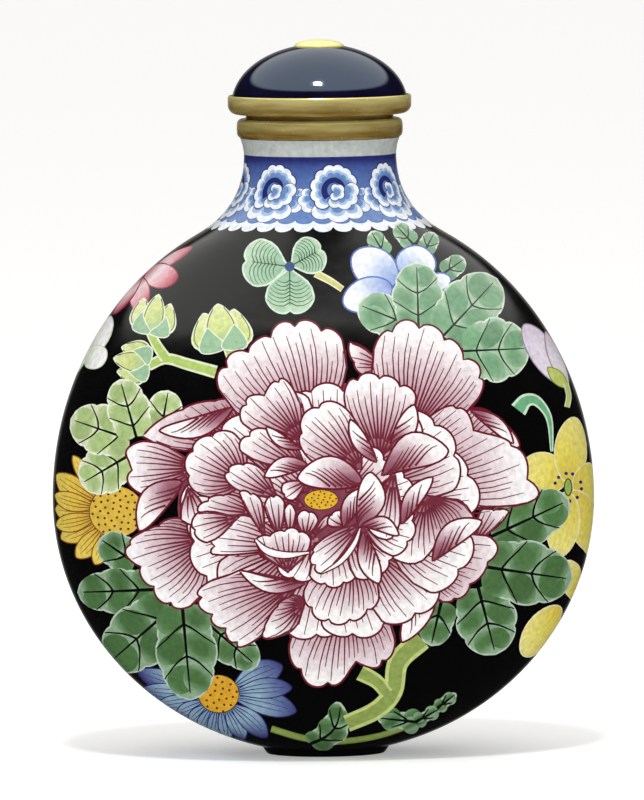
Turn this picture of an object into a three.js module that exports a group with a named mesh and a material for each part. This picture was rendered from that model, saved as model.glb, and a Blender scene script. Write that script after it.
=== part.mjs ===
// Flattened globular snuff bottle in enamelled copper, with a gilt mouth ring and a domed glass stopper.
// Millimetres, +Z up. The origin is on the ground under the centre of the foot, and the painted front
// faces -Y, so X runs across the bottle's width and Y through its depth.
import * as THREE from 'three';

// Driving dimensions of the bottle
const BODY_WIDTH = 47;
const BODY_DEPTH = 29;
const BELLY_LEVEL = 22.25;
const SHOULDER_RISE = 25.8;
const WALL = 1.6;

// Foot: a low oval rim around a shallow recess
const FOOT_HEIGHT = 0.6;
const FOOT_WIDTH = 11;
const FOOT_DEPTH = 8.8;
const FOOT_TAPER = 0.3;
const FOOT_LAND = 1.2;
const FOOT_RECESS = 0.35;

// Neck: narrowest at the neck level, spreading down to the shoulder and slightly up to the mouth ring
const NECK_RADIUS = 6.6;
const NECK_LEVEL = 52;
const NECK_SEAT_RADIUS = 6.9;
const NECK_SEAT_LEVEL = 53.5;
const FRONT_FLARE_LEVEL = 45.2;
const SIDE_FLARE_LEVEL = 38;
const SLEEVE_RADIUS = 5.9;

// Mouth ring, bound round the end of the neck
const MOUTH_LEVEL = 55.2;
const RING_RADIUS = 7.2;
const RING_EDGE = 0.45;
const RING_GAP = 0.05;

// Stopper: a collar with its plug, a glass dome set in the collar and a finial on the dome
const PLUG_GAP = 0.3;
const PLUG_LENGTH = 3;
const PLUG_CHAMFER = 0.5;
const COLLAR_STEP_RADIUS = 6.4;
const COLLAR_STEP_HEIGHT = 0.36;
const COLLAR_RADIUS = 7.95;
const COLLAR_TOP = 57.2;
const BEZEL_DEPTH = 0.3;
const BEZEL_WIDTH = 0.2;
const DOME_RADIUS = 7.6;
const DOME_SINK = 0.5;
const DOME_TOP = 61.4;
const FINIAL_RADIUS = 2.15;
const FINIAL_TOP = 62;

// Facets: sides round every turned piece, and steps along each curved stretch of a profile
const SIDES = 48;
const BODY_STEPS = 9;
const FLARE_STEPS = 5;
const CHAMBER_STEPS = 7;
const DOME_STEPS = 8;
const EDGE_STEPS = 4;
const FINIAL_STEPS = 4;
const QUARTER_TURN = Math.PI / 2;

// One wall of the bottle seen from the front or from the side: an ellipse below the belly, a taller one
// above it, and a flare from there up to the neck.
const lowerHalfHeight = (reach, foot) =>
  (BELLY_LEVEL - FOOT_HEIGHT) / Math.sqrt(1 - (foot / reach) ** 2);

const OUTER_FRONT = {
  reach: BODY_WIDTH / 2,
  neck: NECK_RADIUS,
  low: lowerHalfHeight(BODY_WIDTH / 2, FOOT_WIDTH / 2),
  rise: SHOULDER_RISE,
  flare: FRONT_FLARE_LEVEL,
};
const OUTER_SIDE = {
  reach: BODY_DEPTH / 2,
  neck: NECK_RADIUS,
  low: lowerHalfHeight(BODY_DEPTH / 2, FOOT_DEPTH / 2),
  rise: SHOULDER_RISE,
  flare: SIDE_FLARE_LEVEL,
};
const inside = (outer) => ({
  reach: outer.reach - WALL,
  neck: outer.neck - WALL,
  low: OUTER_FRONT.low - WALL,
  rise: outer.rise - WALL,
  flare: outer.flare,
});
const INNER_FRONT = inside(OUTER_FRONT);
const INNER_SIDE = inside(OUTER_SIDE);

// Half size of a wall at height z.
function halfSize(wall, z) {
  const above = Math.min(z, wall.flare) - BELLY_LEVEL;
  const half = above < 0 ? wall.low : wall.rise;
  const ellipse = wall.reach * Math.sqrt(Math.max(0, 1 - (above / half) ** 2));
  return z <= wall.flare ? ellipse : flareSize(wall, ellipse, z);
}

// The flare is a parabolic arc that leaves the ellipse along its tangent and ends upright at the neck.
function flareSize(wall, start, z) {
  if (z >= NECK_LEVEL) return wall.neck;
  const rise = wall.flare - BELLY_LEVEL;
  const slope = (wall.reach / wall.rise) ** 2 * (rise / start);
  const corner = wall.flare + (start - wall.neck) / slope;
  const bend = wall.flare - 2 * corner + NECK_LEVEL;
  const run = corner - wall.flare;
  const share = (Math.sqrt(run ** 2 + bend * (z - wall.flare)) - run) / bend;
  return wall.neck + (start - wall.neck) * (1 - share) ** 2;
}

const row = (width, depth, z) => ({ width, depth, z });
const round = (radius, z) => row(radius, radius, z);
const wallRow = (front, side, z) => row(halfSize(front, z), halfSize(side, z), z);
const steps = (count) => Array.from({ length: count }, (_, i) => (i + 1) / count);

// Heights of the outside rows, close together where the curve turns quickly.
function outsideLevels() {
  const lowest = Math.asin((BELLY_LEVEL - FOOT_HEIGHT) / OUTER_FRONT.low);
  const highest = Math.asin((FRONT_FLARE_LEVEL - BELLY_LEVEL) / SHOULDER_RISE);
  return [
    FOOT_HEIGHT,
    ...steps(BODY_STEPS).map((s) => BELLY_LEVEL - OUTER_FRONT.low * Math.sin(lowest * (1 - s))),
    ...steps(BODY_STEPS).map((s) => BELLY_LEVEL + SHOULDER_RISE * Math.sin(highest * s)),
    ...steps(FLARE_STEPS).map((s) => FRONT_FLARE_LEVEL + (NECK_LEVEL - FRONT_FLARE_LEVEL) * s),
  ];
}

// Heights of the inside rows, from the neck down to just above the chamber's floor.
function insideLevels() {
  const { low, rise, flare } = INNER_FRONT;
  const highest = Math.asin((flare - BELLY_LEVEL) / rise);
  return [
    ...steps(FLARE_STEPS).map((s) => NECK_LEVEL - (NECK_LEVEL - flare) * s),
    ...steps(CHAMBER_STEPS).map((s) => BELLY_LEVEL + rise * Math.sin(highest * (1 - s))),
    ...steps(CHAMBER_STEPS).slice(0, -1).map((s) => BELLY_LEVEL - low * Math.sin(QUARTER_TURN * s)),
  ];
}

const footRow = (inset, z) => row(FOOT_WIDTH / 2 - inset, FOOT_DEPTH / 2 - inset, z);

// Turns a profile about Z. Each row becomes an oval of its own width and depth.
function turned(rows) {
  const profile = rows.map(({ width, z }) => new THREE.Vector2(width, z));
  const geometry = new THREE.LatheGeometry(profile, SIDES).rotateX(QUARTER_TURN);
  const position = geometry.getAttribute('position');
  for (let i = 0; i < position.count; i += 1) {
    const { width, depth } = rows[i % rows.length];
    if (width > 0) position.setY(i, (position.getY(i) * depth) / width);
  }
  return geometry;
}

function bottleGeometry() {
  const bore = NECK_RADIUS - WALL;
  return turned([
    round(0, FOOT_RECESS),
    footRow(FOOT_TAPER + FOOT_LAND + FOOT_RECESS, FOOT_RECESS),
    footRow(FOOT_TAPER + FOOT_LAND, 0),
    footRow(FOOT_TAPER, 0),
    ...outsideLevels().map((z) => wallRow(OUTER_FRONT, OUTER_SIDE, z)),
    round(NECK_SEAT_RADIUS, NECK_SEAT_LEVEL),
    round(SLEEVE_RADIUS, NECK_SEAT_LEVEL),
    round(SLEEVE_RADIUS, MOUTH_LEVEL),
    round(bore, MOUTH_LEVEL),
    round(bore, NECK_LEVEL),
    ...insideLevels().map((z) => wallRow(INNER_FRONT, INNER_SIDE, z)),
    round(0, BELLY_LEVEL - INNER_FRONT.low),
  ]);
}

// Rows along an arc of an ellipse about (radius, z), from one angle to another.
function arc(radius, z, across, along, from, to, count) {
  const at = (s) => from + (to - from) * s;
  return [0, ...steps(count)].map((s) =>
    round(radius + across * Math.cos(at(s)), z + along * Math.sin(at(s))));
}

function mouthRingGeometry() {
  const bore = SLEEVE_RADIUS + RING_GAP;
  const edge = RING_RADIUS - RING_EDGE;
  return turned([
    round(bore, NECK_SEAT_LEVEL),
    ...arc(edge, NECK_SEAT_LEVEL + RING_EDGE, RING_EDGE, RING_EDGE, -QUARTER_TURN, 0, EDGE_STEPS),
    ...arc(edge, MOUTH_LEVEL - RING_EDGE, RING_EDGE, RING_EDGE, 0, QUARTER_TURN, EDGE_STEPS),
    round(bore, MOUTH_LEVEL),
    round(bore, NECK_SEAT_LEVEL),
  ]);
}

function stopperCollarGeometry() {
  const plug = NECK_RADIUS - WALL - PLUG_GAP;
  const plugEnd = MOUTH_LEVEL - PLUG_LENGTH;
  const underside = MOUTH_LEVEL + COLLAR_STEP_HEIGHT;
  const seat = COLLAR_TOP - BEZEL_DEPTH;
  const bezel = COLLAR_RADIUS - BEZEL_WIDTH;
  const halfHeight = (COLLAR_TOP - underside) / 2;
  return turned([
    round(0, plugEnd),
    round(plug - PLUG_CHAMFER, plugEnd),
    round(plug, plugEnd + PLUG_CHAMFER),
    round(plug, MOUTH_LEVEL),
    round(COLLAR_STEP_RADIUS, MOUTH_LEVEL),
    round(COLLAR_STEP_RADIUS, underside),
    ...arc(COLLAR_RADIUS - halfHeight, underside + halfHeight, halfHeight, halfHeight,
      -QUARTER_TURN, 0, EDGE_STEPS),
    round(COLLAR_RADIUS, COLLAR_TOP - BEZEL_WIDTH),
    round(COLLAR_RADIUS - BEZEL_WIDTH / 2, COLLAR_TOP),
    round(bezel, COLLAR_TOP),
    round(bezel, seat),
    round(0, seat),
  ]);
}

// The dome is part of an ellipsoid whose centre lies below the seat, so it leaves the collar at a slant.
function stopperDomeGeometry() {
  const base = COLLAR_TOP - BEZEL_DEPTH;
  const centre = base - DOME_SINK;
  const rise = DOME_TOP - centre;
  const common = (DOME_RADIUS * rise) ** 2 - (FINIAL_RADIUS * DOME_SINK) ** 2;
  const across = Math.sqrt(common / (rise ** 2 - DOME_SINK ** 2));
  const along = Math.sqrt(common / (DOME_RADIUS ** 2 - FINIAL_RADIUS ** 2));
  return turned([
    round(0, base),
    ...arc(0, centre, across, along, Math.asin(DOME_SINK / along), Math.asin(rise / along), DOME_STEPS),
    round(0, DOME_TOP),
  ]);
}

function stopperFinialGeometry() {
  const height = FINIAL_TOP - DOME_TOP;
  const curve = arc(0, DOME_TOP, FINIAL_RADIUS, height, 0, QUARTER_TURN, FINIAL_STEPS);
  return turned([round(0, DOME_TOP), ...curve.slice(0, -1), round(0, FINIAL_TOP)]);
}

// Finishes
const enamel = new THREE.MeshStandardMaterial({ color: 0x100e0d, roughness: 0.12, metalness: 0 });
const gilt = new THREE.MeshStandardMaterial({ color: 0xb58c3a, roughness: 0.3, metalness: 1 });
const brightGilt = new THREE.MeshStandardMaterial({ color: 0xf0dc5a, roughness: 0.25, metalness: 1 });
const blueGlass = new THREE.MeshStandardMaterial({ color: 0x14122c, roughness: 0.08, metalness: 0 });

function piece(name, geometry, material) {
  const mesh = new THREE.Mesh(geometry, material);
  mesh.name = name;
  return mesh;
}

const snuffBottle = new THREE.Group();
const stopper = new THREE.Group();
stopper.add(
  piece('stopper_collar', stopperCollarGeometry(), gilt),
  piece('stopper_dome', stopperDomeGeometry(), blueGlass),
  piece('stopper_finial', stopperFinialGeometry(), brightGilt),
);
snuffBottle.add(
  piece('bottle', bottleGeometry(), enamel),
  piece('mouth_ring', mouthRingGeometry(), gilt),
  stopper,
);

export default snuffBottle;
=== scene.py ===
"""Looks for the enamelled snuff bottle: the painted body, the gilt ring and collar, and the blue glass dome.

The flowers are filled outlines on the bottle's unrolled surface, laid down in painter's order.
The body's mesh is cut along them, and each facet takes the colour of the topmost outline over it,
so every line is sharp without an image.
"""

import math

import bpy
import numpy as np
from mathutils import Matrix, Vector
from mathutils.geometry import delaunay_2d_cdt


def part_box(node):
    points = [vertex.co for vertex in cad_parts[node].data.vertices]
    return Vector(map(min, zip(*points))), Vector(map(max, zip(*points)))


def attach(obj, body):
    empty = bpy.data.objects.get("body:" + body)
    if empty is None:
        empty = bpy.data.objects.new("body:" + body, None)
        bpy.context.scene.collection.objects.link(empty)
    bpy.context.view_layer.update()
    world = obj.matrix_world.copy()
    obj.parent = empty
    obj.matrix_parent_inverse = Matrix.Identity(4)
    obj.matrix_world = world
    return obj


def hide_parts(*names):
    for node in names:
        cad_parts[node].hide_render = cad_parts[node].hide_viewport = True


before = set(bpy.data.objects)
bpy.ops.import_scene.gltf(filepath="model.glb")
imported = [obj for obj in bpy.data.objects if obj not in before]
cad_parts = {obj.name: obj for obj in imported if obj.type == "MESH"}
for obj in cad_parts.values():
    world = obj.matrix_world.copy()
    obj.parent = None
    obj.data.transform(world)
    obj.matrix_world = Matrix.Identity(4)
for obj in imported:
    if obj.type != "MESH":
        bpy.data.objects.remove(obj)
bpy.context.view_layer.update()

MM = 0.001

# Bottle, in millimetres: the sizes that its solid gives, and the levels and curves that shape it
HALF_WIDTH, HALF_DEPTH, MOUTH_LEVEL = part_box("bottle")[1] / MM
BELLY_LEVEL = 22.25
SHOULDER_RISE = 25.8
WALL = 1.6
FOOT_HEIGHT = 0.6
FOOT_HALF_WIDTH = 5.5
FOOT_HALF_DEPTH = 4.4
FOOT_TAPER = 0.3
FOOT_LAND = 1.2
FOOT_RECESS = 0.35
NECK_RADIUS = 6.6
NECK_LEVEL = 52.0
SEAT_RADIUS = 6.9
SEAT_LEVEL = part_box("mouth_ring")[0].z / MM
FRONT_FLARE_LEVEL = 45.2
SIDE_FLARE_LEVEL = 38.0
SLEEVE_RADIUS = 5.9

# The photographer's view: a long lens a little above the bottle, which leans slightly in the frame
VIEW_TILT = math.radians(4.0)
VIEW_ROLL = math.radians(0.57)
VIEW_DISTANCE = 900.0
FRAME_HEIGHT = 69.4
FRAME_CENTRE_X = -0.04
FRAME_CENTRE_Z = 30.7
SENSOR = 36.0

# The unrolled surface: turns about the axis become lengths on this radius, and it is cut open at the seam
UNROLL_RADIUS = 18.0
SEAM_TURN = math.radians(123)
SIDES = 240
GRID = 0.62
LEVEL_SAMPLES = 1600


def srgb(red, green, blue):
    """A colour as the eye sees it, from 0 to 255, turned into the renderer's linear values."""
    shares = np.array([red, green, blue]) / 255
    return np.where(shares <= 0.04045, shares / 12.92, ((shares + 0.055) / 1.055) ** 2.4)


# The bottle's surface

def half_low(reach, foot):
    """Height of the ellipse below the belly that meets the foot at its own half size."""
    return (BELLY_LEVEL - FOOT_HEIGHT) / math.sqrt(1 - (foot / reach) ** 2)


def wall(reach, low, rise, flare, neck, seat):
    """Half size of a wall by height: one ellipse below the belly, one above, and a flare to the neck."""
    start = reach * math.sqrt(1 - ((flare - BELLY_LEVEL) / rise) ** 2)
    slope = (reach / rise) ** 2 * (flare - BELLY_LEVEL) / start
    run = (start - neck) / slope
    bend = NECK_LEVEL - flare - 2 * run

    def half_size(z):
        z = np.asarray(z, float)
        above = np.minimum(z, flare) - BELLY_LEVEL
        ellipse = reach * np.sqrt(np.maximum(0, 1 - (above / np.where(above < 0, low, rise)) ** 2))
        climb = np.clip(z, flare, NECK_LEVEL) - flare
        share = (np.sqrt(run ** 2 + bend * climb) - run) / bend
        flared = neck + (start - neck) * (1 - share) ** 2
        lip = np.clip((z - NECK_LEVEL) / (SEAT_LEVEL - NECK_LEVEL), 0, 1) ** 2 * (seat - neck)
        return np.where(z <= flare, ellipse, flared + lip)

    return half_size


FRONT_LOW = half_low(HALF_WIDTH, FOOT_HALF_WIDTH)
SIDE_LOW = half_low(HALF_DEPTH, FOOT_HALF_DEPTH)
width_at = wall(HALF_WIDTH, FRONT_LOW, SHOULDER_RISE, FRONT_FLARE_LEVEL, NECK_RADIUS, SEAT_RADIUS)
depth_at = wall(HALF_DEPTH, SIDE_LOW, SHOULDER_RISE, SIDE_FLARE_LEVEL, NECK_RADIUS, SEAT_RADIUS)
BORE = NECK_RADIUS - WALL
INNER_LOW = FRONT_LOW - WALL
INNER_RISE = SHOULDER_RISE - WALL
inner_width_at = wall(HALF_WIDTH - WALL, INNER_LOW, INNER_RISE, FRONT_FLARE_LEVEL, BORE, BORE)
inner_depth_at = wall(HALF_DEPTH - WALL, INNER_LOW, INNER_RISE, SIDE_FLARE_LEVEL, BORE, BORE)

# Heights of the painted surface, close together near the foot, and the way along the surface to each of them
LEVELS = FOOT_HEIGHT + (SEAT_LEVEL - FOOT_HEIGHT) * (1 - np.cos(np.linspace(0, np.pi / 2, LEVEL_SAMPLES)))
MEAN_RADII = (width_at(LEVELS) + depth_at(LEVELS)) / 2
CLIMBS = np.concatenate([[0], np.cumsum(np.hypot(np.diff(MEAN_RADII), np.diff(LEVELS)))])


def climb_to(z):
    return np.interp(z, LEVELS, CLIMBS)


def level_of(climb):
    return np.interp(climb, CLIMBS, LEVELS)


def surface_point(turn, z):
    return np.stack([width_at(z) * np.sin(turn), -depth_at(z) * np.cos(turn), z], axis=-1)


def surface_normal(turn, z, step=0.02):
    width, depth = width_at(z), depth_at(z)
    width_slope = (width_at(z + step) - width_at(z - step)) / (2 * step)
    depth_slope = (depth_at(z + step) - depth_at(z - step)) / (2 * step)
    upward = -(np.sin(turn) ** 2 * width_slope / width + np.cos(turn) ** 2 * depth_slope / depth)
    normal = np.stack([np.sin(turn) / width, -np.cos(turn) / depth, upward], axis=-1)
    return normal / np.linalg.norm(normal, axis=-1, keepdims=True)


# Where a drawing lies. Each place turns drawn points, in millimetres, into points of the unrolled surface.

EDGE_SHARE = 0.96


def front(points):
    """The front as the photographer sees it: across, and up. Past the edge it wraps round the side."""
    across, up = np.asarray(points, float).T
    edge_turn = math.asin(EDGE_SHARE)
    z = np.clip(up, FOOT_HEIGHT, SEAT_LEVEL)
    for _ in range(8):
        share = across / width_at(z)
        past = np.maximum(np.abs(share) - EDGE_SHARE, 0) / math.cos(edge_turn)
        turn = np.sign(share) * (np.arcsin(np.minimum(np.abs(share), EDGE_SHARE)) + past)
        z = (up + depth_at(z) * np.cos(turn) * math.sin(VIEW_TILT)) / math.cos(VIEW_TILT)
        z = np.clip(z, FOOT_HEIGHT, SEAT_LEVEL)
    return np.stack([turn * UNROLL_RADIUS, climb_to(z)], axis=-1)


def patch(turn, level):
    """A flat sheet laid on the bottle at one spot: to the right, and up."""
    turn = (turn - SEAM_TURN) % (2 * math.pi) + SEAM_TURN - 2 * math.pi
    speed = math.hypot(width_at(level) * math.cos(turn), depth_at(level) * math.sin(turn))

    def place(points):
        across, up = np.asarray(points, float).T
        return np.stack([(turn + across / speed) * UNROLL_RADIUS, climb_to(level) + up], axis=-1)

    return place


# Paints

def flat(colour):
    return lambda points: np.tile(colour, (len(points), 1))


def fade(place, start, end, stops):
    """A paint that changes with the distance from a start point, as a share of the way to an end point."""
    centre, far = place([start, end])
    reach = math.hypot(*(far - centre))
    shares = [share for share, _ in stops]
    colours = np.array([colour for _, colour in stops])

    def paint(points):
        distance = np.hypot(*(points - centre).T) / reach
        return np.stack([np.interp(distance, shares, channel) for channel in colours.T], axis=-1)

    return paint


# Outlines

LOBE_STEPS = 9
LOBE_POWER = 0.55
SIDE_BULGE = 0.3
SIDE_STEPS = 5
BLADE_STEPS = 14
TINY = 1e-9


def smooth_value(x, xs, ys):
    """A smooth curve through a few values."""
    slopes = np.gradient(ys, xs)
    i = np.clip(np.searchsorted(xs, x) - 1, 0, len(xs) - 2)
    gap = xs[i + 1] - xs[i]
    t = (x - xs[i]) / gap
    level = ys[i] + (3 * t ** 2 - 2 * t ** 3) * (ys[i + 1] - ys[i])
    return level + gap * t * (1 - t) * ((1 - t) * slopes[i] - t * slopes[i + 1])


def spread_rim(base, tip, spread, sag=0.14):
    """Three rim points for an even petal: its tip, and an end to each side at an angle in degrees."""
    base, reach = np.array(base, float), np.array(tip, float) - np.array(base, float)
    points = []
    for side in (-1, 0, 1):
        angle = math.radians(spread) * side
        turned = (reach[0] * math.cos(angle) - reach[1] * math.sin(angle),
                  reach[0] * math.sin(angle) + reach[1] * math.cos(angle))
        points.append(base + np.array(turned) * (1 - sag * abs(side)))
    return points


class Fan:
    """A petal with a rim of rounded lobes, through a few rim points spread about a base point."""

    def __init__(self, base, rim, lobes, notch=0.06):
        self.base = np.array(base, float)
        reach = np.array(rim, float) - self.base
        towards = math.atan2(*reach.mean(axis=0)[::-1])
        angles = (np.arctan2(reach[:, 1], reach[:, 0]) - towards + np.pi) % (2 * np.pi) - np.pi
        order = np.argsort(angles)
        self.angles = angles[order] + towards
        self.radii = np.hypot(*reach[order].T)
        self.heading = (self.angles[0] + self.angles[-1]) / 2
        self.spread = (self.angles[-1] - self.angles[0]) / 2
        self.length = self.radii.max()
        self.tip = self.base + self.length * np.array([math.cos(self.heading), math.sin(self.heading)])
        self.lobes = lobes
        self.notch = notch

    def rim(self, share):
        wave = np.abs(np.sin(np.pi * self.lobes * (share + 1) / 2)) ** LOBE_POWER
        radius = smooth_value(self.heading + self.spread * share, self.angles, self.radii)
        return radius * (1 - self.notch * (1 - wave))

    def at(self, share, part):
        """Point at a share of the spread, from -1 to 1, and a part of the way to the rim."""
        bulge = 1 + SIDE_BULGE * np.sin(np.pi * np.clip(part, 0, 1))
        angle = self.heading + self.spread * share * bulge
        radius = part * self.rim(share)
        return self.base + np.stack([radius * np.cos(angle), radius * np.sin(angle)], axis=-1)

    def outline(self):
        shares = np.linspace(-1, 1, LOBE_STEPS * self.lobes + 1)
        rim = self.at(shares, np.ones_like(shares))
        parts = np.linspace(1, 0, SIDE_STEPS + 1)[1:]
        left = self.at(np.ones_like(parts), parts)
        right = self.at(-np.ones_like(parts), parts)[::-1][1:]
        return np.concatenate([rim, left, right])


class Blade:
    """A leaf or a narrow petal along a bent axis, with a plain or a lobed margin."""

    def __init__(self, base, tip, width, bend=0.0, fullness=1.0, lobes=0, notch=0.16, point=0.75):
        self.base = np.array(base, float)
        self.tip = np.array(tip, float)
        self.along = self.tip - self.base
        self.across = np.array([-self.along[1], self.along[0]])
        self.length = math.hypot(*self.along)
        self.width = width
        self.bend = bend
        self.fullness = fullness
        self.lobes = lobes
        self.notch = notch
        self.point = point

    def half(self, part):
        half = self.width / 2 * np.sin(np.pi * part ** self.fullness).clip(0) ** self.point
        if self.lobes:
            wave = np.abs(np.sin(np.pi * self.lobes * part)) ** LOBE_POWER
            half = half * (1 - self.notch * (1 - wave))
        return half

    def at(self, part, side):
        """Point at a part of the length, and from -1 to 1 across it."""
        part = np.asarray(part, float)
        middle = part[..., None] * self.along + (self.bend * np.sin(np.pi * part))[..., None] * self.across
        offset = (side * self.half(part))[..., None] * self.across / self.length
        return self.base + middle + offset

    def outline(self):
        count = max(BLADE_STEPS, LOBE_STEPS * self.lobes)
        parts = (1 - np.cos(np.linspace(0, np.pi, count + 1))) / 2
        if self.lobes:
            parts = np.linspace(0, 1, count + 1)
        right = self.at(parts, -1.0)
        left = self.at(parts[::-1], 1.0)
        return np.concatenate([right, left[1:-1]])


def circle(centre, radius, count=16, squash=1.0):
    angles = np.linspace(0, 2 * np.pi, count, endpoint=False)
    return np.array(centre) + radius * np.stack([np.cos(angles), squash * np.sin(angles)], axis=-1)


def around(angle, radius):
    return radius * np.array([math.cos(math.radians(angle)), math.sin(math.radians(angle))])


def ribbon(path, half):
    """The outline of a band that reaches a half width to each side of a path."""
    tangent = np.gradient(path, axis=0)
    sideways = np.stack([-tangent[:, 1], tangent[:, 0]], axis=-1)
    sideways /= np.maximum(np.linalg.norm(sideways, axis=1, keepdims=True), TINY)
    return np.concatenate([path + sideways * half, (path - sideways * half)[::-1]])


def inset(outline, amount):
    """The outline moved inwards, corner by corner."""
    before, after = np.roll(outline, 1, axis=0), np.roll(outline, -1, axis=0)
    tangent = after - before
    area = np.sum(before[:, 0] * outline[:, 1] - before[:, 1] * outline[:, 0])
    inward = np.stack([-tangent[:, 1], tangent[:, 0]], axis=-1) * np.sign(area)
    length = np.maximum(np.linalg.norm(inward, axis=1, keepdims=True), TINY)
    return outline + inward / length * amount


def smooth_path(points, steps=6):
    """A smooth curve through given points."""
    points = np.array(points, float)
    ends = np.concatenate([[2 * points[0] - points[1]], points, [2 * points[-1] - points[-2]]])
    parts = np.linspace(0, 1, steps, endpoint=False)[:, None]
    curve = []
    for a, b, c, d in zip(ends, ends[1:], ends[2:], ends[3:]):
        cubic = (-a + 3 * b - 3 * c + d) * parts ** 3 + (2 * a - 5 * b + 4 * c - d) * parts ** 2
        curve.append(b + 0.5 * ((c - a) * parts + cubic))
    return np.concatenate(curve + [points[-1:]])


EDGE_ROOM = 0.05


class Canvas:
    """Filled outlines on the unrolled surface, from the lowest to the topmost."""

    def __init__(self):
        self.outlines = []
        self.paints = []

    def fill(self, place, outline, paint):
        """Outlines stay a little inside the surface's edges, except the bands, which go right up to them."""
        edge = 0.0 if place is unrolled else EDGE_ROOM
        low = np.array([(SEAM_TURN - 2 * np.pi) * UNROLL_RADIUS + edge, edge])
        high = np.array([SEAM_TURN * UNROLL_RADIUS - edge, CLIMBS[-1] - edge])
        self.outlines.append(np.clip(place(outline), low, high))
        self.paints.append(paint)

    def shape(self, place, outline, paint, edge, edge_width):
        self.fill(place, outline, flat(edge))
        self.fill(place, inset(outline, edge_width), paint)

    def line(self, place, path, start_width, end_width, colour):
        path = np.asarray(path, float)
        half = np.linspace(start_width, end_width, len(path))[:, None] / 2
        self.fill(place, ribbon(path, half), flat(colour))


canvas = Canvas()
chance = np.random.default_rng(7)

# Colours of the painting
GROUND = srgb(5, 5, 5)
CRIMSON = srgb(108, 26, 44)
WHITE = srgb(252, 249, 250)
INK = srgb(12, 16, 12)

# The peony

PETAL_LINE = 0.18
VEIN_GAP = 0.36
VEIN_WIDTH = 0.22
VEIN_TIP = 0.07
VEIN_STEPS = 6
VEIN_COUNT_AT = 0.62
VEIN_STRAY = 0.3
LONG_VEIN = (0.1, (0.86, 0.96))
SHORT_VEIN = (0.26, (0.7, 0.86))
CURL_VEIN_RUN = 0.38
CURL_VEIN_SIDES = (0.8, -0.25)
VEIN_RED = srgb(114, 42, 58)
PETAL_SHADE = srgb(126, 62, 78)
FILLER_START = 0.3
FILLER_SPREAD = 34
FILLER_SAG = 0.1
PEONY_MIDDLE = (0.6, 21.0)
PEONY_SQUASH = 0.86
PETAL_STOPS = [
    (0.0, srgb(120, 58, 74)), (0.2, srgb(156, 104, 118)), (0.42, srgb(196, 158, 168)),
    (0.64, srgb(228, 210, 216)), (0.86, WHITE), (1.2, WHITE)]
CURL_STOPS = [
    (0.0, srgb(124, 62, 78)), (0.35, srgb(168, 116, 130)), (0.65, srgb(220, 196, 204)),
    (0.95, WHITE), (4.0, WHITE)]


def petal(base, rim, lobes, notch=0.06, place=front):
    """A fan petal, white at its rim and mauve at its base, with crimson veins."""
    fan = Fan(base, rim, lobes, notch)
    canvas.shape(place, fan.outline(), fade(place, fan.base, fan.tip, PETAL_STOPS), CRIMSON, PETAL_LINE)
    count = max(3, round(2 * fan.spread * fan.length * VEIN_COUNT_AT / VEIN_GAP))
    for number in range(count):
        share = (2 * number + 1 + chance.uniform(-VEIN_STRAY, VEIN_STRAY)) / count - 1
        start, ends = LONG_VEIN if number % 2 == 0 else SHORT_VEIN
        parts = np.linspace(start, chance.uniform(*ends), VEIN_STEPS)
        path = fan.at(np.full(VEIN_STEPS, share), parts)
        canvas.line(place, path, VEIN_WIDTH, VEIN_TIP, VEIN_RED)


def curl(base, tip, width, bend=0.0, fullness=1.1, veins=3, place=front):
    """A folded petal: mauve on its hollow side, white on its outer side, with veins that slant across."""
    blade = Blade(base, tip, width, bend, fullness, point=0.6)
    hollow = -1 if bend > 0 else 1
    paint = fade(place, blade.at(0.16, 0.7 * hollow), blade.at(0.62, -hollow), CURL_STOPS)
    canvas.shape(place, blade.outline(), paint, CRIMSON, PETAL_LINE)
    for number in range(veins):
        start = 0.03 + 0.55 * number / veins
        parts = np.linspace(start, start + CURL_VEIN_RUN, VEIN_STEPS)
        path = blade.at(parts, hollow * np.linspace(*CURL_VEIN_SIDES, VEIN_STEPS))
        canvas.line(place, path, VEIN_WIDTH, VEIN_TIP, VEIN_RED)


def filler_petals(radius, count, first):
    """A ring of petals about the flower's middle, seen in the gaps between the nearer ones."""
    centre = np.array(PEONY_MIDDLE)
    for number in range(count):
        angle = math.radians(first + 360 * number / count)
        tip = centre + radius * np.array([math.cos(angle), PEONY_SQUASH * math.sin(angle)])
        base = centre + (tip - centre) * FILLER_START
        petal(base, spread_rim(base, tip, FILLER_SPREAD, FILLER_SAG), 3)


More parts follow.
